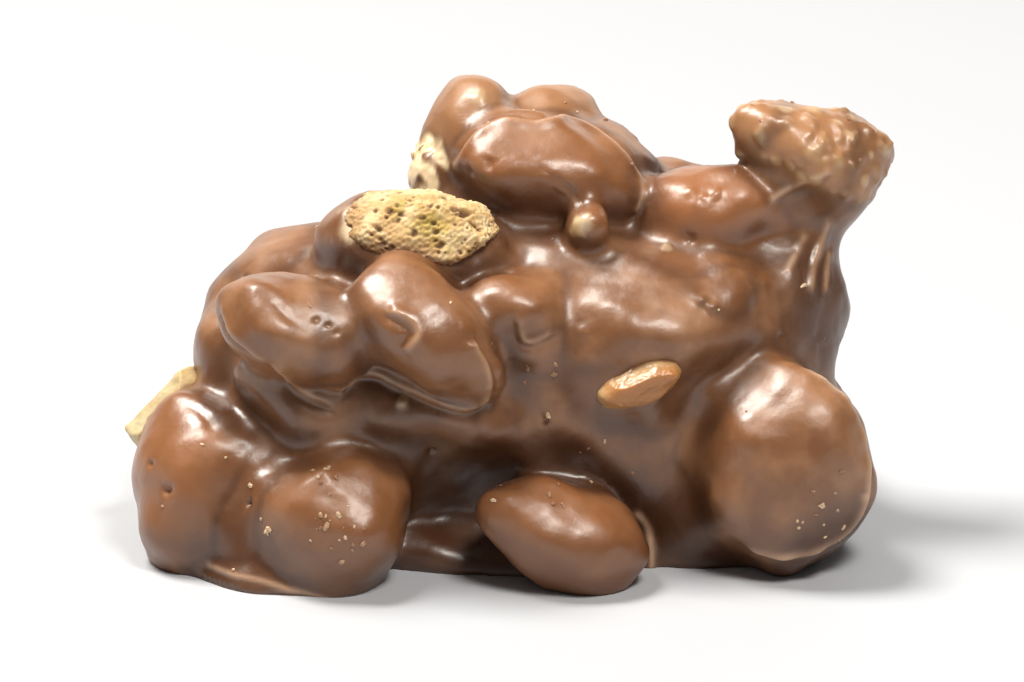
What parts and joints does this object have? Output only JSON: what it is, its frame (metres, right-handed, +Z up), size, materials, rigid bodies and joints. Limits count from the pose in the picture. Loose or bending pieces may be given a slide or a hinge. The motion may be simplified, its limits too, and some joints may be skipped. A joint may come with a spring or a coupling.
{
  "type": "chocolate cluster",
  "caption": "Irregular heap of nuts and puffs coated in milk chocolate on a flat underside, with a bare puff and small bare nut chips showing through.",
  "frame": {"origin": "middle of the outline seen from above, at the height of the flat underside", "axes": "+X along the cluster's length towards the end with the raised knob, +Y towards its back, +Z up"},
  "size_m": [0.0455, 0.0283, 0.0265],
  "materials": {
    "milk_chocolate": "semi-gloss",
    "puff_crumb": "porous, matte",
    "amber_nut": "semi-gloss",
    "cream_nut": "satin"
  },
  "bodies": {
    "root": {"chocolate": "milk_chocolate", "bare_puff": "puff_crumb", "amber_chip": "amber_nut", "cream_chip": "cream_nut"}
  },
  "joints": []
}
